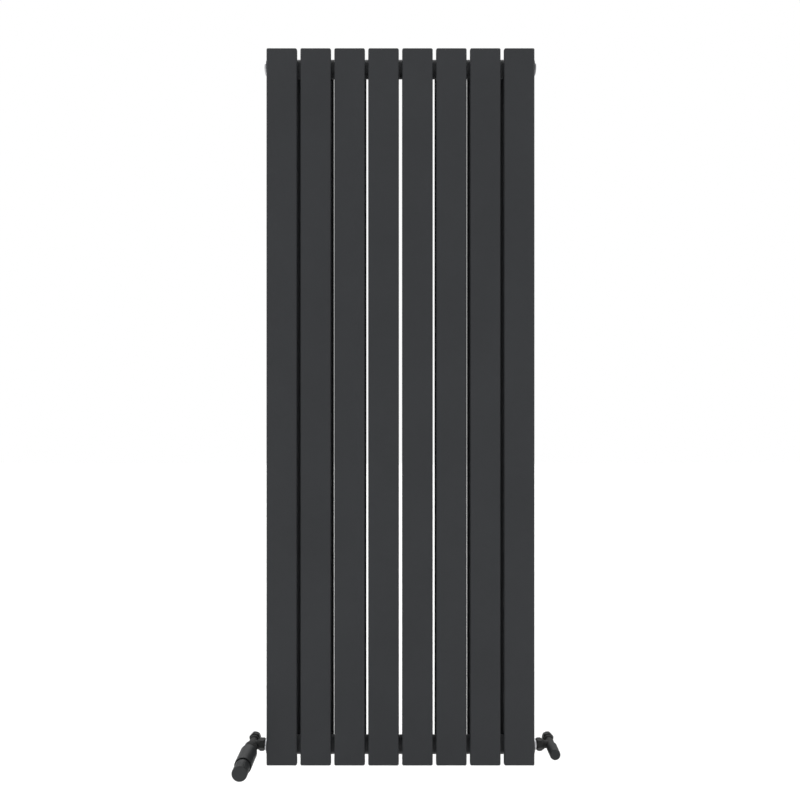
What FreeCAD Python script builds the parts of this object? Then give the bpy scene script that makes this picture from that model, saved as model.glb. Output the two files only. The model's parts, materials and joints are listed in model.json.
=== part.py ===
import FreeCAD, Part
import Sketcher
import math
import os

# Vertical double flat-tube radiator with a thermostatic valve and a lockshield valve.
# All lengths are millimetres. +X is the viewer's right, +Y points into the wall, +Z is up.
# The wall is the plane y = 0 and the origin is the middle of the four wall fixings.

Vector = FreeCAD.Vector
Rotation = FreeCAD.Rotation
Placement = FreeCAD.Placement

doc = FreeCAD.newDocument("radiator")

SIZES = [
    ("panel_height", 1603.0, "overall height of a flat tube"),
    ("panel_width", 68.7, "width of a flat tube"),
    ("panel_depth", 11.0, "thickness of a flat tube"),
    ("panel_wall", 1.2, "steel wall of a flat tube"),
    ("panel_corner", 4.5, "outer radius of a flat tube's long edges"),
    ("end_corner", 2.5, "corner radius of a flat tube's ends, seen from the front"),
    ("panel_pitch", 76.0, "distance from one flat tube to the next"),
    ("cap_thickness", 1.5, "thickness of the plates closing a tube"),
    ("header_radius", 20.0, "outer radius of the header tubes"),
    ("header_wall", 1.5, "wall of the header tubes"),
    ("header_length", 608.4, "length of the header tubes"),
    ("header_level", 773.0, "height of the header axes from the middle"),
    ("header_stand", 64.0, "distance of the header axes from the wall"),
    ("stub_radius", 7.0, "outer radius of the stubs between header and tube"),
    ("stub_bore", 5.5, "bore radius of the stubs"),
    ("bush_bore", 10.2, "bore radius of the half inch header bushes"),
    ("bush_length", 12.0, "length of the header bushes"),
    ("fixing_hole", 4.5, "radius of the wall fixing holes"),
    ("fixing_half_x", 190.0, "wall fixings from the middle, sideways"),
    ("fixing_half_z", 600.0, "wall fixings from the middle, up and down"),
    ("valve_reach_left", 339.3, "thermostatic valve axis from the middle"),
    ("valve_reach_right", 343.7, "lockshield valve axis from the middle"),
    ("pipe_socket", 7.55, "radius of the sockets for 15 mm pipe"),
    ("union_flats", 24.0, "union nut across flats"),
    ("compression_flats", 24.0, "compression nut across flats"),
    ("barrel_radius", 18.9, "outer radius of the sensor barrel at its rim"),
    ("barrel_rear", 19.0, "outer radius of the sensor barrel at its shoulder"),
    ("dial_radius", 16.75, "outer radius of the setting dial"),
    ("dial_bore", 14.75, "bore radius the dial turns in"),
    ("shield_radius", 12.2, "outer radius of the lockshield cap"),
]

sheet = doc.addObject("Spreadsheet::Sheet", "sizes")
for row, (alias, value, note) in enumerate(SIZES, start=1):
    sheet.set(f"A{row}", alias)
    sheet.set(f"B{row}", str(value))
    sheet.set(f"C{row}", note)
    sheet.setAlias(f"B{row}", alias)
doc.recompute()


class Dim:
    """A length that carries its value together with its spreadsheet formula."""

    def __init__(self, value, text):
        self.value = float(value)
        self.text = text

    def __add__(self, other):
        other = as_dim(other)
        return Dim(self.value + other.value, f"({self.text} + {other.text})")

    def __sub__(self, other):
        other = as_dim(other)
        return Dim(self.value - other.value, f"({self.text} - {other.text})")

    def __mul__(self, other):
        other = as_dim(other)
        return Dim(self.value * other.value, f"({self.text} * {other.text})")

    def __truediv__(self, other):
        other = as_dim(other)
        return Dim(self.value / other.value, f"({self.text} / {other.text})")

    def __neg__(self):
        return Dim(-self.value, f"(0 - {self.text})")


def as_dim(number):
    return number if isinstance(number, Dim) else Dim(number, f"({float(number)})")


def plain(number):
    return number.value if isinstance(number, Dim) else float(number)


D = {alias: Dim(value, f"sizes.{alias}") for alias, value, _ in SIZES}


def bind(target, path, number):
    """Set a property from a number, and tie it to the spreadsheet if it has a formula."""
    if isinstance(number, Dim):
        target.setExpression(path, number.text)


def place(x, y, z, axis=(0, 0, 1), angle=0.0):
    return Placement(Vector(x, y, z), Rotation(Vector(*axis), angle))


# ---------------------------------------------------------------- sketches

def new_body(label, placement=Placement()):
    body = doc.addObject("PartDesign::Body", label)
    body.Label = label
    body.Placement = placement
    return body


def new_sketch(body, name, role):
    """An empty sketch on one of the body's own origin planes."""
    sketch = body.newObject("Sketcher::SketchObject", f"{body.Label}_{name}")
    plane = [item for item in body.Origin.OriginFeatures if item.Role == role][0]
    sketch.AttachmentSupport = [(plane, "")]
    sketch.MapMode = "FlatFace"
    return sketch


def rounded_corner(before, corner, after, radius):
    """Tangent points, centre and turning side of an arc that rounds a corner."""
    to_before = (before - corner).normalize()
    to_after = (after - corner).normalize()
    half = to_before.getAngle(to_after) / 2
    reach = radius / math.tan(half)
    entry = corner + to_before * reach
    leave = corner + to_after * reach
    centre = corner + (to_before + to_after).normalize() * (radius / math.sin(half))
    side = (entry - centre).cross(leave - centre).z
    return entry, leave, centre, side


def draw_outline(sketch, corners):
    """Closed outline through corners (x, y) or (x, y, rounding), every vertex dimensioned."""
    points = [Vector(plain(c[0]), plain(c[1]), 0) for c in corners]
    count = len(corners)
    vertices = []
    arcs = []
    for i, corner in enumerate(corners):
        if len(corner) == 3:
            radius = plain(corner[2])
            entry, leave, centre, side = rounded_corner(
                points[i - 1], points[i], points[(i + 1) % count], radius
            )
            start = len(vertices)
            vertices.append((entry, (entry.x, entry.y)))
            vertices.append((leave, (leave.x, leave.y)))
            arcs.append((start, centre, radius, side))
        else:
            vertices.append((points[i], (corner[0], corner[1])))
    arc_at = {start: (centre, radius, side) for start, centre, radius, side in arcs}
    edges = []
    ends = []
    for i in range(len(vertices)):
        here = vertices[i][0]
        there = vertices[(i + 1) % len(vertices)][0]
        if i in arc_at:
            centre, radius, side = arc_at[i]
            first, last = (here, there) if side > 0 else (there, here)
            start_angle = math.atan2(first.y - centre.y, first.x - centre.x)
            end_angle = math.atan2(last.y - centre.y, last.x - centre.x)
            if end_angle <= start_angle:
                end_angle += 2 * math.pi
            circle = Part.Circle(centre, Vector(0, 0, 1), radius)
            edges.append(Part.ArcOfCircle(circle, start_angle, end_angle))
            ends.append((1, 2) if side > 0 else (2, 1))
        else:
            edges.append(Part.LineSegment(here, there))
            ends.append((1, 2))
    base = sketch.GeometryCount
    sketch.addGeometry(edges, False)
    constraints = []
    formulas = []
    for i in range(len(edges)):
        following = (i + 1) % len(edges)
        constraints.append(Sketcher.Constraint(
            "Coincident", base + i, ends[i][1], base + following, ends[following][0]
        ))
        for kind, value in zip(("DistanceX", "DistanceY"), vertices[i][1]):
            if isinstance(value, Dim):
                formulas.append((len(constraints), value.text))
            constraints.append(Sketcher.Constraint(
                kind, -1, 1, base + i, ends[i][0], plain(value)
            ))
        if i in arc_at:
            constraints.append(Sketcher.Constraint("Radius", base + i, arc_at[i][1]))
    first_index = sketch.ConstraintCount
    sketch.addConstraint(constraints)
    for index, text in formulas:
        sketch.setExpression(f"Constraints[{first_index + index}]", text)


def draw_circle(sketch, x, y, radius):
    """A dimensioned circle."""
    index = sketch.addGeometry(
        Part.Circle(Vector(plain(x), plain(y), 0), Vector(0, 0, 1), plain(radius)), False
    )
    for kind, value in (("DistanceX", x), ("DistanceY", y)):
        number = sketch.addConstraint(
            Sketcher.Constraint(kind, -1, 1, index, 3, plain(value))
        )
        bind(sketch, f"Constraints[{number}]", value)
    number = sketch.addConstraint(Sketcher.Constraint("Radius", index, plain(radius)))
    bind(sketch, f"Constraints[{number}]", radius)


def polygon_corners(flats, sides=6, turn=0.0):
    """Corners of a regular polygon, given across its flats."""
    corners = []
    for i in range(sides):
        angle = math.radians(turn + 360.0 * (i + 0.5) / sides)
        reach = as_dim(flats) / (2 * math.cos(math.pi / sides))
        corners.append((reach * math.cos(angle), reach * math.sin(angle)))
    return corners


# ---------------------------------------------------------------- features

def add_feature(body, kind, sketch, suffix):
    feature = body.newObject(kind, f"{sketch.Label}_{suffix}")
    feature.Profile = sketch
    sketch.Visibility = False
    return feature


def pad(body, sketch, length, both_ways=False, backwards=False):
    feature = add_feature(body, "PartDesign::Pad", sketch, "pad")
    feature.Length = plain(length)
    bind(feature, "Length", length)
    feature.Midplane = both_ways
    feature.Reversed = backwards
    return feature


def pocket(body, sketch, length=None, both_ways=False, backwards=False):
    """Cut a sketch to a length, or through everything when no length is given."""
    feature = add_feature(body, "PartDesign::Pocket", sketch, "pocket")
    if length is None:
        feature.Type = "ThroughAll"
    else:
        feature.Length = plain(length)
        bind(feature, "Length", length)
    feature.Midplane = both_ways
    feature.Reversed = backwards
    return feature


def turn(body, name, corners, axis="H_Axis", cut=False):
    """Revolve an outline about the sketch's horizontal or vertical axis."""
    sketch = new_sketch(body, name, "XY_Plane")
    draw_outline(sketch, corners)
    kind = "PartDesign::Groove" if cut else "PartDesign::Revolution"
    feature = add_feature(body, kind, sketch, "turn")
    feature.ReferenceAxis = (sketch, [axis])
    feature.Angle = 360.0
    return feature


def around(body, feature, count, role="X_Axis"):
    """Repeat a feature round one of the body's own axes."""
    axis = [item for item in body.Origin.OriginFeatures if item.Role == role][0]
    pattern = body.newObject("PartDesign::PolarPattern", f"{feature.Label}_round")
    pattern.Originals = [feature]
    pattern.Axis = (axis, [""])
    pattern.Angle = 360.0
    pattern.Occurrences = count
    body.Tip = pattern
    return pattern


def along(body, feature, count, length, role="X_Axis"):
    """Repeat a feature along one of the body's own axes."""
    axis = [item for item in body.Origin.OriginFeatures if item.Role == role][0]
    pattern = body.newObject("PartDesign::LinearPattern", f"{feature.Label}_row")
    pattern.Originals = [feature]
    pattern.Direction = (axis, [""])
    pattern.Length = plain(length)
    bind(pattern, "Length", length)
    pattern.Occurrences = count
    body.Tip = pattern
    return pattern


nodes = []


def keep(item, label=None):
    """List a finished sub-part for the output."""
    if label:
        item.Label = label
    nodes.append(item)
    return item


def group(label, master, placements):
    """Several equal solids in one named sub-part."""
    links = []
    for number, placement in enumerate(placements):
        link = doc.addObject("App::Link", f"{label}_{number}")
        link.LinkedObject = master
        link.LinkPlacement = placement
        links.append(link)
    compound = doc.addObject("Part::Compound", label)
    compound.Label = label
    compound.Links = links
    return keep(compound)


# ---------------------------------------------------------------- common positions

PANEL_COUNT = 8
PANEL_X = [(i - (PANEL_COUNT - 1) / 2) * D["panel_pitch"].value for i in range(PANEL_COUNT)]
HALF_HEIGHT = D["panel_height"].value / 2
HEADER_Y = -D["header_stand"].value
HEADER_Z = D["header_level"].value
FRONT_Y = -94.5      # middle of the front row of tubes
REAR_Y = -33.5       # middle of the rear row of tubes
HEADER_END = D["header_length"].value / 2
LEFT_X = -D["valve_reach_left"].value
RIGHT_X = D["valve_reach_right"].value


# ---------------------------------------------------------------- flat tubes

FRAME_MARGIN = 4.0   # how far the corner-trimming cut reaches past a tube's outline


def round_ends(body, middle, half_height):
    """Round the corners of a tube's or end plate's outline, seen from the front."""
    sketch = new_sketch(body, "ends", "XZ_Plane")
    half_w = D["panel_width"] / 2
    for extra, corner in ((0.0, D["end_corner"].value), (FRAME_MARGIN, 1.0)):
        w = half_w + extra
        low = middle - half_height - extra
        high = middle + half_height + extra
        draw_outline(sketch, [
            (-w, low, corner), (w, low, corner), (w, high, corner), (-w, high, corner),
        ])
    pocket(body, sketch, D["panel_depth"] * 2, both_ways=True)


def flat_tube(label, x, y, turned):
    """A hollow flat tube with the two stub holes in its header-side wall."""
    body = new_body(label, place(x, y, 0, angle=180.0 if turned else 0.0))
    sketch = new_sketch(body, "section", "XY_Plane")
    half_w = D["panel_width"] / 2
    half_d = D["panel_depth"] / 2
    wall = D["panel_wall"]
    corner = D["panel_corner"].value
    for inset, radius in ((as_dim(0.0), corner), (wall, corner - wall.value)):
        w = half_w - inset
        d = half_d - inset
        draw_outline(sketch, [(-w, -d, radius), (w, -d, radius), (w, d, radius), (-w, d, radius)])
    pad(body, sketch, D["panel_height"], both_ways=True)
    holes = new_sketch(body, "stub_holes", "XZ_Plane")
    for level in (-D["header_level"], D["header_level"]):
        draw_circle(holes, 0.0, level, D["stub_radius"])
    pocket(body, holes, D["panel_depth"])
    round_ends(body, as_dim(0.0), D["panel_height"] / 2)
    return keep(body)


for number, x in enumerate(PANEL_X, start=1):
    flat_tube(f"front_panel_{number}", x, FRONT_Y, turned=False)
for number, x in enumerate(PANEL_X, start=1):
    flat_tube(f"rear_panel_{number}", x, REAR_Y, turned=True)

# Plates closing the tube ends, welded in flush.
end_plate = new_body("end_plate")
plate_sketch = new_sketch(end_plate, "section", "XY_Plane")
plate_w = D["panel_width"] / 2 - D["panel_wall"]
plate_d = D["panel_depth"] / 2 - D["panel_wall"]
plate_r = D["panel_corner"].value - D["panel_wall"].value
draw_outline(plate_sketch, [
    (-plate_w, -plate_d, plate_r),
    (plate_w, -plate_d, plate_r),
    (plate_w, plate_d, plate_r),
    (-plate_w, plate_d, plate_r),
])
pad(end_plate, plate_sketch, D["cap_thickness"], backwards=True)
round_ends(end_plate, -D["panel_height"] / 2, D["panel_height"] / 2)
for label, y in (("front_end_plates", FRONT_Y), ("rear_end_plates", REAR_Y)):
    spots = []
    for x in PANEL_X:
        spots.append(place(x, y, HALF_HEIGHT))
        spots.append(place(x, y, -HALF_HEIGHT, axis=(1, 0, 0), angle=180.0))
    group(label, end_plate, spots)


# ---------------------------------------------------------------- headers

def header(label, z):
    body = new_body(label, place(0, HEADER_Y, z))
    half = D["header_length"] / 2
    outer = D["header_radius"]
    inner = outer - D["header_wall"]
    turn(body, "wall", [(-half, inner), (half, inner), (half, outer), (-half, outer)])
    sketch = new_sketch(body, "stub_holes", "XZ_Plane")
    draw_circle(sketch, D["panel_pitch"] * (-(PANEL_COUNT - 1) / 2), 0.0, D["stub_radius"])
    first = pocket(body, sketch, both_ways=True)
    along(body, first, PANEL_COUNT, D["panel_pitch"] * (PANEL_COUNT - 1))
    return keep(body)


header("top_header", HEADER_Z)
header("bottom_header", -HEADER_Z)

# Threaded bushes welded into the four header ends.
bush = new_body("header_bush")
bush_outer = D["header_radius"] - D["header_wall"]
turn(bush, "ring", [
    (0.0, D["bush_bore"]),
    (D["bush_length"] - 1.0, D["bush_bore"]),
    (D["bush_length"], D["bush_bore"] + 1.0),
    (D["bush_length"], bush_outer),
    (0.0, bush_outer),
])
bush_start = HEADER_END - D["bush_length"].value
group("header_bushes", bush, [
    place(side * bush_start, HEADER_Y, z, angle=0.0 if side > 0 else 180.0)
    for z in (HEADER_Z, -HEADER_Z)
    for side in (-1, 1)
])

# Short stubs carry the water from each header into each flat tube.
STUB_OUT = 26.2      # far end of a stub from the header axis, flush inside the tube wall
STUB_IN = 17.2       # near end of a stub, just inside the header bore
stub = new_body("stub")
turn(stub, "wall", [
    (STUB_IN, D["stub_bore"]),
    (STUB_OUT, D["stub_bore"]),
    (STUB_OUT, D["stub_radius"]),
    (STUB_IN, D["stub_radius"]),
])
for label, angle in (("front_stubs", -90.0), ("rear_stubs", 90.0)):
    group(label, stub, [
        place(x, HEADER_Y, z, angle=angle)
        for x in PANEL_X
        for z in (HEADER_Z, -HEADER_Z)
    ])

# A disc blocks the bottom header in the middle, so water rises on the left and falls on the right.
HUB_RADIUS = 14.0    # thick middle of the disc
HUB_HALF = 4.0       # half the thickness of the middle
LIP_HALF = 1.5       # half the thickness of the sealing lip
diverter = new_body("flow_diverter", place(0, HEADER_Y, -HEADER_Z))
turn(diverter, "disc", [
    (-HUB_HALF, 0.0),
    (HUB_HALF, 0.0),
    (HUB_HALF, HUB_RADIUS),
    (LIP_HALF, HUB_RADIUS),
    (LIP_HALF, bush_outer),
    (-LIP_HALF, bush_outer),
    (-LIP_HALF, HUB_RADIUS),
    (-HUB_HALF, HUB_RADIUS),
])
keep(diverter)


# ---------------------------------------------------------------- wall brackets

BRACKET_SPOTS = [
    place(sx * D["fixing_half_x"].value, 0, sz * D["fixing_half_z"].value)
    for sz in (1, -1)
    for sx in (-1, 1)
]


def side_profile(body, name, corners, width):
    """Extrude an outline in the Y-Z plane by a width centred on x = 0."""
    sketch = new_sketch(body, name, "YZ_Plane")
    draw_outline(sketch, corners)
    return pad(body, sketch, width, both_ways=True)


SHEET = 3.0          # thickness of the bracket's steel
PLATE_HALF = 22.0    # half the height of the wall plate
LIP_FRONT = -26.5    # room side of the upturned lip
LIP_REAR = -23.5     # wall side of the upturned lip
LIP_TOP = 6.0        # top of the lip, above the fixing
LINER_TOP = 7.0      # top of the liner, where the hanging pocket rests

# Folded steel bracket: wall plate, arm and upturned lip.
bracket = new_body("wall_bracket")
side_profile(bracket, "fold", [
    (0.0, -PLATE_HALF, 4.0),
    (0.0, PLATE_HALF),
    (-SHEET, PLATE_HALF),
    (-SHEET, SHEET - PLATE_HALF, 1.0),
    (LIP_REAR, SHEET - PLATE_HALF, 1.0),
    (LIP_REAR, LIP_TOP),
    (LIP_FRONT, LIP_TOP),
    (LIP_FRONT, -PLATE_HALF, 4.0),
], 30.0)
ears = new_sketch(bracket, "ears", "XZ_Plane")
draw_outline(ears, [
    (-24.0, -14.0, 5.0),
    (24.0, -14.0, 5.0),
    (24.0, PLATE_HALF, 5.0),
    (-24.0, PLATE_HALF, 5.0),
])
pad(bracket, ears, SHEET)
fixing = new_sketch(bracket, "fixing", "XZ_Plane")
draw_circle(fixing, 0.0, 0.0, D["fixing_hole"])
pocket(bracket, fixing, 8.0, both_ways=True)
group("wall_brackets", bracket, BRACKET_SPOTS)

# Plastic liner slipped over each lip, so the steel doesn't creak as it warms.
liner = new_body("bracket_liner")
side_profile(liner, "block", [
    (LIP_FRONT - 1.0, -8.0),
    (LIP_REAR + 1.0, -8.0),
    (LIP_REAR + 1.0, LINER_TOP),
    (LIP_FRONT - 1.0, LINER_TOP),
], 32.0)
slot = new_sketch(liner, "slot", "YZ_Plane")
draw_outline(slot, [
    (LIP_FRONT, -9.0),
    (LIP_REAR, -9.0),
    (LIP_REAR, LIP_TOP),
    (LIP_FRONT, LIP_TOP),
])
pocket(liner, slot, 30.0, both_ways=True)
group("bracket_liners", liner, BRACKET_SPOTS)

# Hanging pockets welded to the rear tubes, closed at the top so they rest on the lips.
TUBE_BACK = -28.0    # wall side of the rear tubes
POCKET_BACK = -22.2  # inner face of the pocket's wall side
loop = new_body("hanging_pocket")
side_profile(loop, "block", [
    (TUBE_BACK, -12.0),
    (-19.5, -12.0),
    (-19.5, 9.5, 3.0),
    (TUBE_BACK, 9.5),
], 40.0)
room = new_sketch(loop, "room", "YZ_Plane")
draw_outline(room, [
    (TUBE_BACK - 1.0, -13.0),
    (POCKET_BACK, -13.0),
    (POCKET_BACK, LINER_TOP),
    (TUBE_BACK - 1.0, LINER_TOP),
])
pocket(loop, room, 34.4, both_ways=True)
group("hanging_pockets", loop, BRACKET_SPOTS)


# ---------------------------------------------------------------- top plugs

TOP_LEFT = place(-HEADER_END, HEADER_Y, HEADER_Z, angle=180.0)
TOP_RIGHT = place(HEADER_END, HEADER_Y, HEADER_Z)


BLANK_FACE = 4.9     # outer face of the blanking plug, from the header end
VENT_FACE = 4.3      # outer face of the air vent, from the header end
FLANGE_RADIUS = 13.2
SEAL_THICK = 1.5
THREAD_DEPTH = 10.0  # how far a plug reaches into its bush
PLUG_RADIUS = 10.0   # outer radius of a plug's thread
VENT_BORE = 3.05     # bore that guides the bleed screw


def top_plug(label, spot, face):
    """A plug screwed into a header bush, with a round flange out to its face."""
    body = new_body(label, spot)
    turn(body, "outline", [
        (-THREAD_DEPTH, 0.0),
        (face, 0.0),
        (face, FLANGE_RADIUS, 0.8),
        (SEAL_THICK, FLANGE_RADIUS),
        (SEAL_THICK, PLUG_RADIUS),
        (1.0 - THREAD_DEPTH, PLUG_RADIUS),
        (-THREAD_DEPTH, PLUG_RADIUS - 1.0),
    ])
    return body


blank = top_plug("blanking_plug", TOP_LEFT, BLANK_FACE)
socket = new_sketch(blank, "socket", "YZ_Plane")
draw_outline(socket, polygon_corners(10.0))
pocket(blank, socket, BLANK_FACE + 1.0, backwards=True)
turn(blank, "socket_floor", [(-2.0, 0.0), (1.0, 0.0), (1.0, 5.0), (-2.0, 5.0)], cut=True)
keep(blank)

vent = top_plug("air_vent_body", TOP_RIGHT, VENT_FACE)
turn(vent, "bleed_bore", [
    (-THREAD_DEPTH - 0.5, 0.0),
    (-THREAD_DEPTH - 0.5, 1.5),
    (-6.0, 1.5),
    (-4.5, VENT_BORE),
    (0.0, VENT_BORE),
    (0.0, 5.2),
    (VENT_FACE + 1.0, 5.2),
    (VENT_FACE + 1.0, 0.0),
], cut=True)
keep(vent)

for label, spot in (("blanking_plug_seal", TOP_LEFT), ("air_vent_seal", TOP_RIGHT)):
    seal = new_body(label, spot)
    turn(seal, "ring", [
        (0.0, 10.3),
        (SEAL_THICK, 10.3),
        (SEAL_THICK, 12.0, 0.3),
        (0.0, 12.0, 0.3),
    ])
    keep(seal)

# Bleed screw: cone point on its seat, square head for a vent key.
bleed = new_body("bleed_screw", TOP_RIGHT)
turn(bleed, "shank", [(-5.75, 0.0), (-4.45, 1.6), (-4.45, 3.0), (0.0, 3.0), (0.0, 0.0)])
head = new_sketch(bleed, "square", "YZ_Plane")
draw_outline(head, polygon_corners(5.0, sides=4))
pad(bleed, head, VENT_FACE - 0.5)
keep(bleed)


# ---------------------------------------------------------------- valve parts in common

# A valve's own axis is its body's local X, pointing to the front. Local Y is the viewer's right.
TRV_SPOT = place(LEFT_X, HEADER_Y, -HEADER_Z, angle=-90.0)
LOCK_SPOT = place(RIGHT_X, HEADER_Y, -HEADER_Z, angle=-90.0)

NUT_REAR = -34.2     # rear face of the compression nut
NUT_FRONT = -22.0    # front face of the compression nut
OLIVE_REAR = -32.6   # rear end of the olive, against the nut's inner shoulder
OLIVE_FRONT = -28.6  # front end of the olive, inside the body's cone
BODY_REAR = -30.0    # rear face of the valve body
SOCKET_STOP = -18.0  # pipe stop inside the body
THREAD = 8.9         # outer radius of the body's compression thread
NUT_TURN = 15.0      # how far a nut stopped from having its corners level
OLIVE_RADIUS = 8.45  # outer radius of the olive
RUNNING = 0.05       # clearance between parts that turn or slide
UNION_THREAD = 10.45 # outer radius of the union thread
UNION_FACES = {-1: 318.4, 1: 319.6}  # union face of each valve branch from the middle
UNION_IN = -9.0      # radiator side of the union nut, from the union face
UNION_OUT = 5.2      # valve side of the union nut, from the union face
TAIL_SHOULDER = -2.9 # shoulder of the tail that the union nut pulls on, from the union face
TAIL_NECK = 8.8      # outer radius of the tail inside the union nut
UNION_LEAN = 28.0    # how far a union nut stopped from having a flat straight ahead
TAIL_BORE = 6.0      # water way through the tail
TAIL_FLANGE = 12.6   # outer radius of the tail's flange against the header
TAIL_FACE = 4.2      # valve side of that flange, from the header end
TAIL_THREAD = 10.1   # outer radius of the tail's thread in the header bush
TAIL_SEAL = 0.8      # thickness of the tail's seal
BRANCH_BORE = 5.6    # water way through the valve's branch
BRANCH_COLLAR = 10.9 # outer radius of the collar behind the branch's thread
BRANCH_RADIUS = 8.3  # outer radius of the branch next to the main body
NUT_CHAMFER = 4.6    # how far along a nut its chamfers reach


def chamfer(nut, name, end, inward, flats):
    """Turn the corners off one end of a hexagon nut."""
    turn(nut, f"chamfer_{name}", [
        (end, flats / 2 - 0.5),
        (end + inward * NUT_CHAMFER, flats / 2 + 2.6),
        (end - inward * 0.5, flats / 2 + 2.6),
        (end - inward * 0.5, flats / 2 - 0.5),
    ], cut=True)


def compression_nut(label, spot, nut_turn):
    body = new_body(label, spot)
    sketch = new_sketch(body, "hexagon", "YZ_Plane")
    draw_outline(sketch, polygon_corners(D["compression_flats"], turn=nut_turn))
    pad(body, sketch, NUT_FRONT - NUT_REAR)
    sketch.AttachmentOffset = place(0, 0, NUT_REAR)
    socket_r = D["pipe_socket"]
    turn(body, "bore", [
        (NUT_REAR - 1.0, 0.0),
        (NUT_REAR - 1.0, socket_r),
        (OLIVE_REAR, socket_r),
        (OLIVE_REAR, 8.0),
        (OLIVE_REAR + 1.0, THREAD + RUNNING),
        (NUT_FRONT + 1.0, THREAD + RUNNING),
        (NUT_FRONT + 1.0, 0.0),
    ], cut=True)
    for name, end, inward in (("rear", NUT_REAR, 1), ("front", NUT_FRONT, -1)):
        chamfer(body, name, end, inward, D["compression_flats"])
    return keep(body)


def olive(label, spot):
    body = new_body(label, spot)
    turn(body, "ring", [
        (OLIVE_REAR, D["pipe_socket"]),
        (OLIVE_FRONT, D["pipe_socket"]),
        (OLIVE_FRONT, 7.65),
        (BODY_REAR - 0.1, OLIVE_RADIUS),
        (OLIVE_REAR + 1.2, OLIVE_RADIUS),
        (OLIVE_REAR, 7.8),
    ])
    return keep(body)


def tail_parts(prefix, side):
    """Tail, its seal and its union nut, reaching out from the header end on one side."""
    spot = place(0, HEADER_Y, -HEADER_Z, angle=0.0 if side > 0 else 180.0)
    face = UNION_FACES[side]
    shoulder = face + TAIL_SHOULDER
    tail = new_body(f"{prefix}_tail", spot)
    turn(tail, "outline", [
        (HEADER_END - 11.0, TAIL_BORE),
        (face, TAIL_BORE),
        (face, UNION_THREAD - 0.3),
        (shoulder, UNION_THREAD - 0.3),
        (shoulder, TAIL_NECK),
        (HEADER_END + TAIL_FACE, TAIL_NECK),
        (HEADER_END + TAIL_FACE, TAIL_FLANGE, 0.5),
        (HEADER_END + TAIL_SEAL, TAIL_FLANGE, 0.5),
        (HEADER_END + TAIL_SEAL, TAIL_THREAD),
        (HEADER_END - 10.0, TAIL_THREAD),
        (HEADER_END - 11.0, TAIL_THREAD - 1.0),
    ])
    keep(tail)
    seal = new_body(f"{prefix}_tail_seal", spot)
    turn(seal, "ring", [
        (HEADER_END, 10.3),
        (HEADER_END + TAIL_SEAL, 10.3),
        (HEADER_END + TAIL_SEAL, 12.4),
        (HEADER_END, 12.4),
    ])
    keep(seal)
    nut = new_body(f"{prefix}_union_nut", spot)
    sketch = new_sketch(nut, "hexagon", "YZ_Plane")
    draw_outline(sketch, polygon_corners(D["union_flats"], turn=-side * UNION_LEAN))
    pad(nut, sketch, UNION_OUT - UNION_IN)
    sketch.AttachmentOffset = place(0, 0, face + UNION_IN)
    turn(nut, "bore", [
        (face + UNION_IN - 1.0, 0.0),
        (face + UNION_IN - 1.0, TAIL_NECK + RUNNING),
        (shoulder, TAIL_NECK + RUNNING),
        (shoulder, UNION_THREAD + RUNNING),
        (face + UNION_OUT + 1.0, UNION_THREAD + RUNNING),
        (face + UNION_OUT + 1.0, 0.0),
    ], cut=True)
    for name, end, inward in (
        ("inner", face + UNION_IN, 1),
        ("outer", face + UNION_OUT, -1),
    ):
        chamfer(nut, name, end, inward, D["union_flats"])
    keep(nut)


# Compression end, neck and waist of a valve body up to its branch.
VALVE_REAR = [
    (BODY_REAR, 0.0),
    (BODY_REAR, THREAD - 0.2),
    (BODY_REAR + 0.3, THREAD),
    (-21.6, THREAD),
    (-21.6, 10.6),
    (-17.6, 10.6, 0.8),
    (-14.6, 8.2, 1.2),
    (-10.0, 8.2, 1.2),
    (-7.0, 10.0, 2.0),
]

# Cone for the olive and socket for the pipe, up to the pipe stop.
PIPE_WAY = [
    (BODY_REAR - 1.0, 0.0),
    (BODY_REAR - 1.0, 8.5),
    (BODY_REAR, 8.5),
    (BODY_REAR + 1.8, D["pipe_socket"]),
    (SOCKET_STOP, D["pipe_socket"]),
    (SOCKET_STOP, 5.0),
]


def upright(corners):
    """The same outline with the turning axis along Y instead of X."""
    return [(c[1], c[0]) + tuple(c[2:]) for c in corners]


def valve_body(label, spot, reach, side, front, bore):
    """Valve body: turned main part, side branch, then the water ways."""
    body = new_body(label, spot)
    turn(body, "main", VALVE_REAR + front)
    face = reach - UNION_FACES[-side]
    turn(body, "branch", upright([
        (0.0, 0.0),
        (side * face, 0.0),
        (side * face, UNION_THREAD - 0.5),
        (side * (face - 0.5), UNION_THREAD),
        (side * (face - UNION_OUT - 0.2), UNION_THREAD),
        (side * (face - UNION_OUT - 0.2), BRANCH_COLLAR),
        (side * (face - UNION_OUT - 1.8), BRANCH_COLLAR),
        (side * (face - UNION_OUT - 4.8), BRANCH_RADIUS),
        (0.0, BRANCH_RADIUS),
    ]), axis="V_Axis")
    turn(body, "bore", PIPE_WAY + bore, cut=True)
    turn(body, "branch_bore", upright([
        (0.0, 0.0),
        (side * (face + 1.0), 0.0),
        (side * (face + 1.0), BRANCH_BORE),
        (0.0, BRANCH_BORE),
    ]), axis="V_Axis", cut=True)
    return keep(body)


# ---------------------------------------------------------------- thermostatic valve

valve_body(
    "trv_body", TRV_SPOT, D["valve_reach_left"].value, 1,
    front=[
        (7.5, 10.0, 2.0),
        (11.5, 12.6, 0.6),
        (23.6, 12.6),
        (24.0, 12.2),
        (24.0, 0.0),
    ],
    bore=[
        (-8.0, 5.0),
        (-8.0, 7.0),
        (12.0, 7.0),
        (12.0, 8.45),
        (25.0, 8.45),
        (25.0, 0.0),
    ],
)
compression_nut("trv_compression_nut", TRV_SPOT, NUT_TURN)
olive("trv_olive", TRV_SPOT)
tail_parts("trv", -1)

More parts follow.
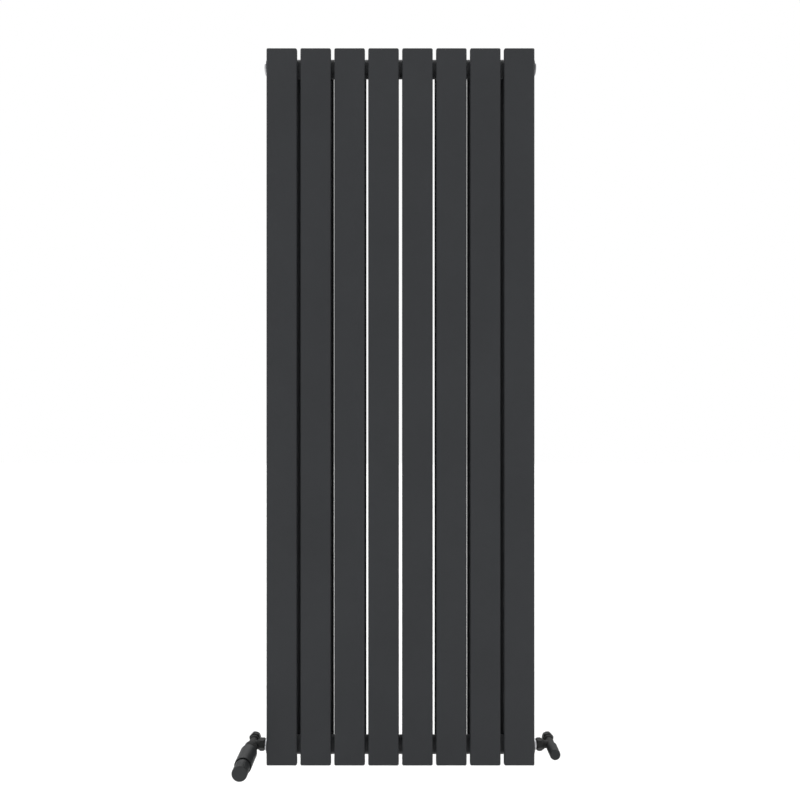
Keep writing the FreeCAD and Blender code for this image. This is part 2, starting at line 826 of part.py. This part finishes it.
# Insert screwed into the body; it guides the pin and seats the return spring.
PIN_RADIUS = 2.0
insert = new_body("trv_insert", TRV_SPOT)
turn(insert, "outline", [
    (12.0, PIN_RADIUS + RUNNING),
    (26.0, PIN_RADIUS + RUNNING),
    (26.0, 6.4),
    (30.0, 6.4),
    (30.0, 8.3),
    (12.4, 8.4),
    (12.0, 8.0),
])
keep(insert)

# Pin, disc holder and spring collar in one turned piece.
PIN_FRONT = 42.0     # front end of the pin, touching the capsule
spindle = new_body("trv_pin", TRV_SPOT)
turn(spindle, "outline", [
    (-6.5, 0.0),
    (-6.5, 1.5),
    (-3.5, 1.5),
    (-3.5, 5.0),
    (-1.5, 5.0),
    (-1.5, PIN_RADIUS),
    (35.0, PIN_RADIUS),
    (35.0, 5.6),
    (36.5, 5.6),
    (36.5, PIN_RADIUS),
    (PIN_FRONT, PIN_RADIUS),
    (PIN_FRONT, 0.0),
])
keep(spindle)

disc = new_body("trv_disc", TRV_SPOT)
turn(disc, "ring", [(-6.5, 1.5), (-3.5, 1.5), (-3.5, 6.3, 0.4), (-6.5, 6.3, 0.4)])
keep(disc)

# Return spring between the insert and the pin collar.
SPRING_WIRE = 0.375  # wire radius
SPRING_RADIUS = 4.6  # radius of the coils, to the middle of the wire
SPRING_PITCH = 2.05
SPRING_TURNS = 4
SPRING_REAR = 26.4   # middle of the rear coil, from the header axis
spring_spine = doc.addObject("Part::Helix", "spring_spine")
spring_spine.Radius = SPRING_RADIUS
spring_spine.Pitch = SPRING_PITCH
spring_spine.Height = SPRING_PITCH * SPRING_TURNS
spring_spine.SegmentLength = 1.0
spring_section = doc.addObject("Part::Circle", "spring_section")
spring_section.Radius = SPRING_WIRE
spring_section.Placement = place(SPRING_RADIUS, 0, 0, axis=(1, 0, 0), angle=90.0)
spring = doc.addObject("Part::Sweep", "trv_return_spring")
spring.Sections = [spring_section]
spring.Spine = (spring_spine, [f"Edge{number + 1}" for number in range(SPRING_TURNS)])
spring.Solid = True
spring.Frenet = True
spring.Placement = place(
    LEFT_X, HEADER_Y - SPRING_REAR, -HEADER_Z, axis=(1, 0, 0), angle=90.0
)
keep(spring, "trv_return_spring")

# Knurled collar that pulls the head onto the body.
KNURL_COUNT = 36
collar = new_body("trv_collar", TRV_SPOT)
turn(collar, "outline", [
    (13.2, 12.65),
    (25.6, 12.65),
    (25.6, 11.2),
    (27.4, 11.2),
    (27.4, 14.4, 0.4),
    (26.4, 15.2),
    (14.8, 15.2),
    (13.2, 14.0, 0.4),
])
knurl = new_sketch(collar, "knurl", "YZ_Plane")
draw_outline(knurl, [(15.6, -0.9), (15.6, 0.9), (14.55, 0.0)])
knurl_cut = pocket(collar, knurl, 30.0, backwards=True)
around(collar, knurl_cut, KNURL_COUNT)
keep(collar)

# Sensor barrel: flanged rear spigot, ribbed shoulder and the bore that the dial turns in.
BARREL_RIM = 88.4    # front edge of the barrel
RIM_BORE = 17.8      # wider bore at the rim, which leaves a dark groove round the dial
RIM_DEPTH = 5.0      # depth of the wider bore
GRIP_REAR = 91.0     # rear edge of the dial's grip
DIAL_FRONT = 118.2   # front face of the dial
RIB_COUNT = 24       # ribs round the barrel's shoulder
GRIP_COUNT = 24      # grip grooves round the dial
barrel = new_body("trv_barrel", TRV_SPOT)
turn(barrel, "outline", [
    (24.0, 8.5),
    (24.0, 12.3),
    (25.6, 12.3),
    (25.6, 11.1),
    (28.2, 11.1),
    (28.2, 14.6),
    (35.5, D["barrel_rear"], 1.8),
    (BARREL_RIM, D["barrel_radius"], 0.5),
    (BARREL_RIM, RIM_BORE),
    (BARREL_RIM - RIM_DEPTH, RIM_BORE),
    (BARREL_RIM - RIM_DEPTH, D["dial_bore"]),
    (31.5, D["dial_bore"]),
    (31.5, 8.5),
])
ribs = new_sketch(barrel, "ribs", "XY_Plane")
draw_outline(ribs, [(31.0, 18.0), (38.0, 18.0), (38.0, 19.5), (31.0, 19.5)])
rib_cut = pocket(barrel, ribs, 1.6, both_ways=True)
around(barrel, rib_cut, RIB_COUNT)
keep(barrel)

# Setting dial: a closed cup whose spigot turns inside the barrel.
dial = new_body("trv_dial", TRV_SPOT)
turn(dial, "outline", [
    (70.0, 12.5),
    (70.0, D["dial_bore"] - RUNNING),
    (GRIP_REAR, D["dial_bore"] - RUNNING),
    (GRIP_REAR, D["dial_radius"] - 0.3),
    (GRIP_REAR + 0.4, D["dial_radius"]),
    (DIAL_FRONT, D["dial_radius"], 1.8),
    (DIAL_FRONT, 0.0),
    (DIAL_FRONT - 3.0, 0.0),
    (DIAL_FRONT - 3.0, 12.5),
])
grip = new_sketch(dial, "grip", "YZ_Plane")
draw_circle(grip, D["dial_radius"] + 0.55, 0.0, 1.0)
grip_cut = pocket(dial, grip, 14.0, backwards=True)
grip.AttachmentOffset = place(0, 0, DIAL_FRONT - 16.0)
around(dial, grip_cut, GRIP_COUNT)
keep(dial)

# Wax capsule, guided in the dial, pressing on the pin.
capsule = new_body("trv_capsule", TRV_SPOT)
turn(capsule, "outline", [
    (PIN_FRONT, 0.0),
    (PIN_FRONT, 3.0),
    (52.0, 3.0),
    (52.0, 10.5, 1.0),
    (72.0, 10.5),
    (72.0, 12.45),
    (78.0, 12.45),
    (78.0, 11.5),
    (96.0, 11.5, 2.0),
    (96.0, 0.0),
])
keep(capsule)


# ---------------------------------------------------------------- lockshield valve

valve_body(
    "lockshield_body", LOCK_SPOT, D["valve_reach_right"].value, -1,
    front=[
        (9.6, 10.0, 1.2),
        (11.8, 8.9),
        (20.6, 8.9),
        (21.0, 8.5),
        (21.0, 0.0),
    ],
    bore=[
        (-7.5, 5.0),
        (-7.5, 6.8),
        (13.8, 6.8),
        (13.8, 7.0),
        (22.0, 7.0),
        (22.0, 0.0),
    ],
)
compression_nut("lockshield_compression_nut", LOCK_SPOT, -NUT_TURN)
olive("lockshield_olive", LOCK_SPOT)
tail_parts("lockshield", 1)

SPINDLE_RADIUS = 3.0
LOCK_FRONT = 21.0    # front face of the lockshield body
gland = new_body("lockshield_gland_nut", LOCK_SPOT)
turn(gland, "thread", [
    (14.1, SPINDLE_RADIUS + RUNNING),
    (LOCK_FRONT, SPINDLE_RADIUS + RUNNING),
    (LOCK_FRONT, 6.95),
    (14.5, 6.95),
    (14.1, 6.5),
])
gland_hex = new_sketch(gland, "hexagon", "YZ_Plane")
draw_outline(gland_hex, polygon_corners(15.0))
draw_circle(gland_hex, 0.0, 0.0, SPINDLE_RADIUS + RUNNING)
pad(gland, gland_hex, 4.5)
gland_hex.AttachmentOffset = place(0, 0, LOCK_FRONT)
keep(gland)

# Regulating spindle: thread at the rear, thrust collar under the gland, square at the front.
regulator = new_body("lockshield_spindle", LOCK_SPOT)
turn(regulator, "outline", [
    (0.0, 0.0),
    (0.0, 2.5),
    (12.6, 2.5),
    (12.6, 5.2),
    (14.0, 5.2),
    (14.0, SPINDLE_RADIUS),
    (28.5, SPINDLE_RADIUS),
    (28.5, 0.0),
])
key_end = new_sketch(regulator, "square", "YZ_Plane")
draw_outline(key_end, polygon_corners(4.2, sides=4))
pad(regulator, key_end, 5.5)
key_end.AttachmentOffset = place(0, 0, 28.0)
keep(regulator)

plug = new_body("lockshield_plug", LOCK_SPOT)
turn(plug, "outline", [
    (-6.0, 0.0),
    (-6.0, 5.8),
    (-5.6, 6.3),
    (-3.4, 6.3),
    (-3.4, 4.4),
    (9.0, 4.4),
    (9.0, 2.55),
    (-4.5, 2.55),
    (-4.5, 0.0),
])
keep(plug)

# Push-on cap over the lockshield spindle.
SHIELD_END = 46.8    # front end of the cap
shield = new_body("lockshield_cap", LOCK_SPOT)
turn(shield, "outline", [
    (12.6, 9.0),
    (12.6, D["shield_radius"] - 0.8),
    (13.4, D["shield_radius"]),
    (SHIELD_END, D["shield_radius"] - 0.4, 3.2),
    (SHIELD_END, 0.0),
    (SHIELD_END - 2.5, 0.0),
    (SHIELD_END - 2.5, 10.2),
    (17.0, 10.2),
    (15.8, 9.0),
])
keep(shield)


# ---------------------------------------------------------------- check and write out

doc.recompute()

problems = []
for item in doc.Objects:
    if "Invalid" in item.State or "Error" in item.State:
        problems.append(f"{item.Label}: {item.State}")
for item in nodes:
    if item.Shape.isNull() or not item.Shape.isValid():
        problems.append(f"{item.Label}: no valid shape")
if problems:
    raise RuntimeError("; ".join(problems))

os.makedirs("parts", exist_ok=True)
for item in nodes:
    item.Shape.exportStep(f"parts/{item.Label}.step")
    box = item.Shape.BoundBox
    print(
        f"{item.Label:28s} solids {len(item.Shape.Solids):2d}  volume {item.Shape.Volume:10.0f}  "
        f"x {box.XMin:8.2f} {box.XMax:8.2f}  y {box.YMin:8.2f} {box.YMax:8.2f}  "
        f"z {box.ZMin:8.2f} {box.ZMax:8.2f}"
    )
print(f"{len(nodes)} sub-parts written")
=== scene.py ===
import json
import math

import bmesh
import bpy
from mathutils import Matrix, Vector


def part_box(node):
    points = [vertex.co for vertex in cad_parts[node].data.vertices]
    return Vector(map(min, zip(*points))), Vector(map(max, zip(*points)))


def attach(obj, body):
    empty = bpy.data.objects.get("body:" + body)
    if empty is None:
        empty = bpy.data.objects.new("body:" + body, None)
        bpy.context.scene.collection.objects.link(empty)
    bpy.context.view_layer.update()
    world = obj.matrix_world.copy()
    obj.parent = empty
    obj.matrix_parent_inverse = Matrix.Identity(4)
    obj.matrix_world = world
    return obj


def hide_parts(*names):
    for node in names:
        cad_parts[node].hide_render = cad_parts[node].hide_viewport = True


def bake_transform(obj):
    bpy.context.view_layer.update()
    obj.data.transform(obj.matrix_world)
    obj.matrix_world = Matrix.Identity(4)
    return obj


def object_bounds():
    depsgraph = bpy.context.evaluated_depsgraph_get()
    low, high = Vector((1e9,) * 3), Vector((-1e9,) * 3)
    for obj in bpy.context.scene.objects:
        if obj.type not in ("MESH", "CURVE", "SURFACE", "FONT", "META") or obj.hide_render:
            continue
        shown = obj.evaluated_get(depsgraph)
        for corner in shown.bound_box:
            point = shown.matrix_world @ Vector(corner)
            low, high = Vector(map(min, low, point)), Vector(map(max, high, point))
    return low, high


# Vertical flat-tube radiator. Metres, +X right, +Y into the wall, +Z up.

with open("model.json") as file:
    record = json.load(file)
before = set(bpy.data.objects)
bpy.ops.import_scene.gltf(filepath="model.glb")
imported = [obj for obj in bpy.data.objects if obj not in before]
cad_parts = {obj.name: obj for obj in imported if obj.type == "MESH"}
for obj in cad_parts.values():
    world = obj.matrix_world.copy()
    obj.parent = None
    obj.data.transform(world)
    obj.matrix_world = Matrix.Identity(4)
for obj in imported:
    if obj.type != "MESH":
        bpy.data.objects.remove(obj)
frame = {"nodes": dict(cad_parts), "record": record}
CAD_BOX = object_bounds()
NODES = frame["nodes"]
MM = 0.001


# ---------------------------------------------------------------- measures

def centre(node):
    low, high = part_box(node)
    return (low + high) / 2


def size(node):
    low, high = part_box(node)
    return high - low


PANEL_COUNT = 8
FRONT_PANELS = [f"front_panel_{i + 1}" for i in range(PANEL_COUNT)]
REAR_PANELS = [f"rear_panel_{i + 1}" for i in range(PANEL_COUNT)]
PANEL_X = [centre(name).x for name in FRONT_PANELS]
FRONT_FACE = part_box("front_panel_1")[0].y
HEADER_LEVELS = [centre("top_header").z, centre("bottom_header").z]
DIAL_RADIUS = size("trv_dial").x / 2
BARREL_RADIUS = size("trv_barrel").x / 2

PAINTED_EDGE = 0.5 * MM    # rounding that the paint gives to the flat tubes' edges
STUB_WELD_RADIUS = 7.6 * MM
STUB_WELD_SIZE = 0.9 * MM
POCKET_HALF_WIDTH = 20.0 * MM
POCKET_HEIGHT = 21.5 * MM
POCKET_WELD_INSET = 2 * MM
POCKET_WELD_RADIUS = 1.1 * MM


# ---------------------------------------------------------------- node helpers

PATTERN_LOW, PATTERN_HIGH = 0.3, 0.7    # where noise starts and ends to matter


class Nodes:
    """A material's node tree, with the few calls that the materials share."""

    def __init__(self, name):
        self.material = bpy.data.materials.new(name)
        self.material.use_nodes = True
        self.tree = self.material.node_tree
        self.shader = self.tree.nodes["Principled BSDF"]
        coordinates = self.tree.nodes.new("ShaderNodeTexCoord")
        self.place = coordinates.outputs["Object"]

    def add(self, kind, **values):
        node = self.tree.nodes.new(kind)
        for key, value in values.items():
            if hasattr(node, key):
                setattr(node, key, value)
            else:
                node.inputs[key.replace("_", " ")].default_value = value
        return node

    def link(self, output, node, socket):
        self.tree.links.new(output, node.inputs[socket])

    def set(self, **values):
        for key, value in values.items():
            self.shader.inputs[key.replace("_", " ")].default_value = value

    def noise(self, scale, detail=2.0, roughness=0.5, stretch=None):
        """Noise in the object's own metres, so scale is cells per metre; stretch squeezes it."""
        node = self.add("ShaderNodeTexNoise", Scale=scale, Detail=detail, Roughness=roughness)
        source = self.place
        if stretch:
            mapping = self.add("ShaderNodeMapping")
            mapping.inputs["Scale"].default_value = stretch
            self.link(source, mapping, "Vector")
            source = mapping.outputs["Vector"]
        self.link(source, node, "Vector")
        return node.outputs["Fac"]

    def spread(self, factor, low, high):
        """Map the middle of a 0..1 pattern onto a range of values."""
        node = self.add("ShaderNodeMapRange")
        node.inputs["From Min"].default_value = PATTERN_LOW
        node.inputs["From Max"].default_value = PATTERN_HIGH
        node.inputs["To Min"].default_value = low
        node.inputs["To Max"].default_value = high
        self.link(factor, node, "Value")
        return node.outputs["Result"]

    def tint(self, factor, dark, light):
        """Blend two colours by a pattern and send the result to the base colour."""
        ramp = self.add("ShaderNodeValToRGB")
        ramp.color_ramp.elements[0].position = PATTERN_LOW
        ramp.color_ramp.elements[0].color = (*dark, 1)
        ramp.color_ramp.elements[1].position = PATTERN_HIGH
        ramp.color_ramp.elements[1].color = (*light, 1)
        self.link(factor, ramp, "Fac")
        self.link(ramp.outputs["Color"], self.shader, "Base Color")

    def bumps(self, *layers):
        """Chain bump layers, each (pattern, strength, height in metres)."""
        previous = None
        for pattern, strength, height in layers:
            bump = self.add("ShaderNodeBump", Strength=strength, Distance=height)
            self.link(pattern, bump, "Height")
            if previous:
                self.link(previous, bump, "Normal")
            previous = bump.outputs["Normal"]
        self.link(previous, self.shader, "Normal")


def shade(colour, amount):
    return tuple(channel * amount for channel in colour)


# ---------------------------------------------------------------- materials

def coated(name, colour, roughness, grain=1400.0, depth=0.02, specular=0.25):
    """Sprayed coating: fine orange peel, faint clouding and uneven gloss."""
    m = Nodes(name)
    cloud = m.noise(7.0, 3.0)
    m.tint(cloud, shade(colour, 0.95), shade(colour, 1.05))
    gloss = m.noise(60.0, 4.0)
    m.link(m.spread(gloss, roughness - 0.04, roughness + 0.04), m.shader, "Roughness")
    peel = m.noise(grain, 2.0, 0.6)
    ripple = m.noise(grain / 6, 1.0)
    m.bumps((ripple, 0.10, depth * 2 * MM), (peel, 0.35, depth * MM))
    m.set(Metallic=0.0, IOR=1.45, Specular_IOR_Level=specular)
    return m.material


def plated(name, colour, roughness):
    """Bright plating with faint polishing marks and fingerprint-sized haze."""
    m = Nodes(name)
    haze = m.noise(180.0, 4.0)
    m.tint(haze, shade(colour, 0.94), colour)
    m.link(m.spread(haze, roughness, roughness + 0.10), m.shader, "Roughness")
    marks = m.noise(900.0, 2.0, 0.5, (8.0, 1.0, 1.0))
    m.bumps((marks, 0.06, 0.01 * MM))
    m.set(Metallic=1.0)
    return m.material


def machined(name, colour, roughness, stretch):
    """Turned metal with fine tool marks across one direction."""
    m = Nodes(name)
    tone = m.noise(120.0, 3.0)
    m.tint(tone, shade(colour, 0.86), colour)
    cuts = m.noise(500.0, 3.0, 0.6, stretch)
    m.link(m.spread(cuts, roughness, roughness + 0.15), m.shader, "Roughness")
    m.bumps((cuts, 0.25, 0.015 * MM))
    m.set(Metallic=1.0)
    return m.material


def moulded(name, colour, roughness, grain=2200.0, specular=0.3):
    """Moulded plastic with a fine spark-eroded grain."""
    m = Nodes(name)
    cloud = m.noise(40.0, 2.0)
    m.tint(cloud, shade(colour, 0.94), shade(colour, 1.06))
    grains = m.noise(grain, 3.0, 0.65)
    m.link(m.spread(grains, roughness - 0.05, roughness + 0.06), m.shader, "Roughness")
    m.bumps((grains, 0.30, 0.02 * MM))
    m.set(Metallic=0.0, IOR=1.49, Specular_IOR_Level=specular)
    return m.material


ANTHRACITE = (0.0260, 0.0276, 0.0302)
HEAD_GREY = (0.0220, 0.0236, 0.0245)
VALVE_GREY = (0.0205, 0.0210, 0.0214)

MATERIALS = {
    "powder_coat": coated("powder_coat", ANTHRACITE, 0.50),
    "bracket_paint": coated("bracket_paint", shade(ANTHRACITE, 1.1), 0.45),
    "valve_paint": coated(
        "valve_paint", VALVE_GREY, 0.36, grain=2600.0, depth=0.01, specular=0.13,
    ),
    "bush_steel": machined("bush_steel", (0.33, 0.33, 0.34), 0.35, (1.0, 12.0, 12.0)),
    "plug_chrome": plated("plug_chrome", (0.42, 0.42, 0.435), 0.12),
    "vent_nickel": plated("vent_nickel", (0.20, 0.20, 0.21), 0.20),
    "vent_brass": machined("vent_brass", (0.66, 0.50, 0.24), 0.28, (1.0, 12.0, 12.0)),
    "spring_steel": machined("spring_steel", (0.45, 0.45, 0.46), 0.25, (12.0, 1.0, 12.0)),
    "seal_rubber": moulded("seal_rubber", (0.02, 0.02, 0.02), 0.75),
    "liner_plastic": moulded("liner_plastic", (0.55, 0.55, 0.53), 0.50),
    "head_plastic": moulded("head_plastic", HEAD_GREY, 0.46, specular=0.27),
    "cap_plastic": moulded("cap_plastic", shade(HEAD_GREY, 0.92), 0.50, specular=0.20),
    "mark_paint": moulded("mark_paint", (0.050, 0.051, 0.053), 0.5),
}


def dress_nodes():
    """Give every CAD node the material of its slot in the record."""
    for entry in frame["record"]["subparts"]:
        node = NODES[entry["node"]]
        node.data.materials.clear()
        node.data.materials.append(MATERIALS[entry["material_slot"]])


def soften(node, width):
    """Round a CAD node's hard edges, as sprayed paint does."""
    bevel = NODES[node].modifiers.new("edge", "BEVEL")
    bevel.width = width
    bevel.segments = 2
    bevel.limit_method = "ANGLE"
    bevel.angle_limit = math.radians(40)


# ---------------------------------------------------------------- added pieces

def finish_piece(name, mesh, body, slot, smooth=True):
    """Turn a bmesh into a named piece that rides on a CAD body."""
    data = bpy.data.meshes.new(name)
    mesh.to_mesh(data)
    mesh.free()
    piece = bpy.data.objects.new(name, data)
    bpy.context.scene.collection.objects.link(piece)
    for polygon in data.polygons:
        polygon.use_smooth = smooth
    data.materials.append(MATERIALS[slot])
    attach(piece, body)


def add_ring(mesh, middle, axis, radius, thickness, ripple, sides=32, around=10):
    """A torus in a bmesh; ripple gives a weld bead its scales."""
    turn = Vector((0, 0, 1)).rotation_difference(axis).to_matrix()
    rows = []
    for i in range(sides):
        angle = 2 * math.pi * i / sides
        swell = 1.0 + ripple * math.sin(angle * sides / 3)
        row = []
        for j in range(around):
            turn_angle = 2 * math.pi * j / around
            reach = radius + thickness * swell * math.cos(turn_angle)
            point = Vector((
                reach * math.cos(angle),
                reach * math.sin(angle),
                thickness * swell * math.sin(turn_angle),
            ))
            row.append(mesh.verts.new(middle + turn @ point))
        rows.append(row)
    for i in range(sides):
        for j in range(around):
            following = (j + 1) % around
            mesh.faces.new((
                rows[i][j],
                rows[(i + 1) % sides][j],
                rows[(i + 1) % sides][following],
                rows[i][following],
            ))


def stub_welds():
    """Small weld fillets where the stubs meet the flat tubes."""
    for name, panel, side in (
        ("front_stub_welds", "front_panel_1", 1),
        ("rear_stub_welds", "rear_panel_1", 0),
    ):
        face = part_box(panel)[side].y
        mesh = bmesh.new()
        for x in PANEL_X:
            for z in HEADER_LEVELS:
                add_ring(mesh, Vector((x, face, z)), Vector((0, 1, 0)),
                         STUB_WELD_RADIUS, STUB_WELD_SIZE, ripple=0.12)
        finish_piece(name, mesh, "radiator", "powder_coat")


def add_bead(mesh, start, end, radius, sides=8):
    """A weld bead along a straight seam, with its ripples."""
    step_length = 1.2 * MM
    steps = max(6, int((end - start).length / step_length))
    along = (end - start).normalized()
    turn = Vector((0, 0, 1)).rotation_difference(along).to_matrix()
    rows = []
    for i in range(steps + 1):
        taper = 0.35 if i in (0, steps) else 1.0
        swell = radius * taper * (1.0 + 0.15 * math.cos(i * math.pi))
        middle = start + (end - start) * (i / steps)
        rows.append([
            mesh.verts.new(middle + turn @ Vector((
                swell * math.cos(2 * math.pi * j / sides),
                swell * math.sin(2 * math.pi * j / sides),
                0,
            )))
            for j in range(sides)
        ])
    for lower, upper in zip(rows, rows[1:]):
        for j in range(sides):
            following = (j + 1) % sides
            mesh.faces.new((lower[j], lower[following], upper[following], upper[j]))
    mesh.faces.new(rows[0][::-1])
    mesh.faces.new(rows[-1])


def pocket_welds():
    """Weld beads down both sides of each hanging pocket, on the back of the rear tubes."""
    low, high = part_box("hanging_pockets")
    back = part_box("rear_panel_1")[1].y
    mesh = bmesh.new()
    for middle_x in (low.x + POCKET_HALF_WIDTH, high.x - POCKET_HALF_WIDTH):
        for top in (high.z, low.z + POCKET_HEIGHT):
            bottom = top - POCKET_HEIGHT
            for side in (-1, 1):
                x = middle_x + side * POCKET_HALF_WIDTH
                add_bead(mesh, Vector((x, back, top - POCKET_WELD_INSET)),
                         Vector((x, back, bottom + POCKET_WELD_INSET)), POCKET_WELD_RADIUS)
    finish_piece("pocket_welds", mesh, "radiator", "powder_coat")


def wrap(mesh, centre_line, radius, turn, start):
    """Lay a flat outline round a cylinder whose axis is Y: X goes round, Y goes back."""
    for vertex in mesh.verts:
        across, back, out = vertex.co
        angle = turn + across / radius
        reach = radius + out
        vertex.co = Vector((
            centre_line.x + reach * math.sin(angle),
            start + back,
            centre_line.z + reach * math.cos(angle),
        ))


FIGURE_SIZE = 5.5 * MM
FIGURE_RISE = 0.12 * MM
FIGURE_STEP = 60           # degrees between neighbouring figures, with 3 on top
FIGURE_SETBACK = 9.5 * MM  # in front of the barrel's rim
DOT_RADIUS = 1.0 * MM
DOT_CORNERS = [
    (-DOT_RADIUS * math.sin(2 * math.pi * i / 20), DOT_RADIUS * math.cos(2 * math.pi * i / 20))
    for i in range(20)
]
DOT_RISE = 0.14 * MM
DOT_TURN = -150            # degrees round the dial from the figure 3
DOT_SETBACK = 7.5 * MM
POINTER_CORNERS = [(-1.3 * MM, 4.2 * MM), (1.3 * MM, 4.2 * MM), (0.0, 1.2 * MM)]
POINTER_RISE = 0.18 * MM


def number_outline(number):
    """A raised figure lying flat, as a bmesh fine enough to bend."""
    curve = bpy.data.curves.new("number", "FONT")
    curve.body = str(number)
    curve.size = FIGURE_SIZE
    curve.extrude = FIGURE_RISE
    curve.align_x = "CENTER"
    letter = bpy.data.objects.new("number", curve)
    mesh = bmesh.new()
    mesh.from_mesh(letter.to_mesh())
    bmesh.ops.subdivide_edges(mesh, edges=mesh.edges, cuts=1)
    letter.to_mesh_clear()
    return mesh


def raised_outline(corners, rise):
    """A raised plate lying flat, from its corners in order."""
    plate = bmesh.new()
    lower = [plate.verts.new((x, y, 0.0)) for x, y in corners]
    upper = [plate.verts.new((x, y, rise)) for x, y in corners]
    plate.faces.new(upper)
    plate.faces.new(lower[::-1])
    for i in range(len(corners)):
        j = (i + 1) % len(corners)
        plate.faces.new((lower[i], lower[j], upper[j], upper[i]))
    return plate


def dial_marks():
    """Figures 1 to 5 and a frost protection dot on the dial, and a pointer on the barrel."""
    low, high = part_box("trv_barrel")
    rim = low.y
    middle = (low + high) / 2
    marks = [
        (number_outline(number), math.radians(FIGURE_STEP * (number - 3)), FIGURE_SETBACK)
        for number in range(1, 6)
    ]
    dot = raised_outline(DOT_CORNERS, DOT_RISE)
    marks.append((dot, math.radians(DOT_TURN), DOT_SETBACK))
    whole = bmesh.new()
    for mesh, turn, setback in marks:
        wrap(mesh, middle, DIAL_RADIUS + 0.02 * MM, turn, rim - setback)
        part = bpy.data.meshes.new("mark")
        mesh.to_mesh(part)
        whole.from_mesh(part)
        mesh.free()
    bmesh.ops.recalc_face_normals(whole, faces=whole.faces)
    finish_piece("dial_numbers", whole, "dial", "mark_paint", smooth=False)

    pointer = raised_outline(POINTER_CORNERS, POINTER_RISE)
    wrap(pointer, middle, BARREL_RADIUS + 0.01 * MM, 0.0, rim)
    bmesh.ops.recalc_face_normals(pointer, faces=pointer.faces)
    finish_piece("barrel_pointer", pointer, "radiator", "mark_paint", smooth=False)


def return_spring():
    """The thermostatic valve's spring, copied out of its CAD node, which is then hidden."""
    node = NODES["trv_return_spring"]
    data = node.data.copy()
    data.name = "return_spring"
    data.transform(node.matrix_world)
    spring = bpy.data.objects.new("return_spring", data)
    bpy.context.scene.collection.objects.link(spring)
    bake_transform(spring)
    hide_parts("trv_return_spring")


# ---------------------------------------------------------------- stage, light and camera

FLOOR_SIZE = 9.0
FLOOR_DROP = 0.15     # below the lowest point of the radiator, which hangs on a wall


def stage():
    """A plain white floor."""
    mesh = bmesh.new()
    bmesh.ops.create_grid(mesh, x_segments=1, y_segments=1, size=FLOOR_SIZE)
    data = bpy.data.meshes.new("floor")
    mesh.to_mesh(data)
    mesh.free()
    floor = bpy.data.objects.new("floor", data)
    floor.location = (0, 0, CAD_BOX[0][2] - FLOOR_DROP)
    bpy.context.scene.collection.objects.link(floor)
    m = Nodes("floor_white")
    cloud = m.noise(1.5, 2.0)
    m.tint(cloud, (0.87, 0.87, 0.87), (0.89, 0.89, 0.89))
    m.set(Roughness=0.8)
    data.materials.append(m.material)


BACK_BAND = (-0.15, 0.25)   # Y of a direction, where the front of the room turns into the back
SKY_BAND = (0.25, 0.6)      # Z of a direction, where the back turns from dim to bright


def soft_world(front, low, high):
    """A white room, dim low down behind the radiator and bright above; it shows as plain white."""
    world = bpy.data.worlds.new("white_room")
    bpy.context.scene.world = world
    world.use_nodes = True
    tree = world.node_tree
    background = tree.nodes["Background"]
    where = tree.nodes.new("ShaderNodeTexCoord")
    split = tree.nodes.new("ShaderNodeSeparateXYZ")
    ray = tree.nodes.new("ShaderNodeLightPath")
    tree.links.new(where.outputs["Generated"], split.inputs["Vector"])

    def fade(source, start, end, first, last):
        node = tree.nodes.new("ShaderNodeMapRange")
        tree.links.new(source, node.inputs["Value"])
        node.inputs["From Min"].default_value = start
        node.inputs["From Max"].default_value = end
        for name, value in (("To Min", first), ("To Max", last)):
            if isinstance(value, float):
                node.inputs[name].default_value = value
            else:
                tree.links.new(value, node.inputs[name])
        return node.outputs["Result"]

    behind = fade(split.outputs["Z"], *SKY_BAND, low, high)
    room = fade(split.outputs["Y"], *BACK_BAND, front, behind)
    seen = fade(ray.outputs["Is Camera Ray"], 0.0, 1.0, room, 1.0)
    tree.links.new(seen, background.inputs["Strength"])
    background.inputs["Color"].default_value = (1, 1, 1, 1)


CAMERA_DISTANCE = 1.402    # from the front faces of the tubes
CAMERA_LENS = 28.23        # mm, on a 36 mm sensor
CAMERA_SHIFT = (-0.0006, 0.0086)


def camera():
    """A level camera straight in front of the radiator."""
    data = bpy.data.cameras.new("camera")
    data.lens = CAMERA_LENS
    data.sensor_width = 36.0
    data.shift_x, data.shift_y = CAMERA_SHIFT
    data.clip_end = 60.0
    eye = bpy.data.objects.new("camera", data)
    eye.location = (0, FRONT_FACE - CAMERA_DISTANCE, 0)
    eye.rotation_euler = (math.radians(90), 0, 0)
    bpy.context.scene.collection.objects.link(eye)
    bpy.context.scene.camera = eye


dress_nodes()
for panel in FRONT_PANELS + REAR_PANELS:
    soften(panel, PAINTED_EDGE)
stub_welds()
pocket_welds()
dial_marks()
return_spring()
stage()
soft_world(front=1.0, low=0.4, high=2.2)
camera()
bpy.context.scene.view_settings.view_transform = "Standard"
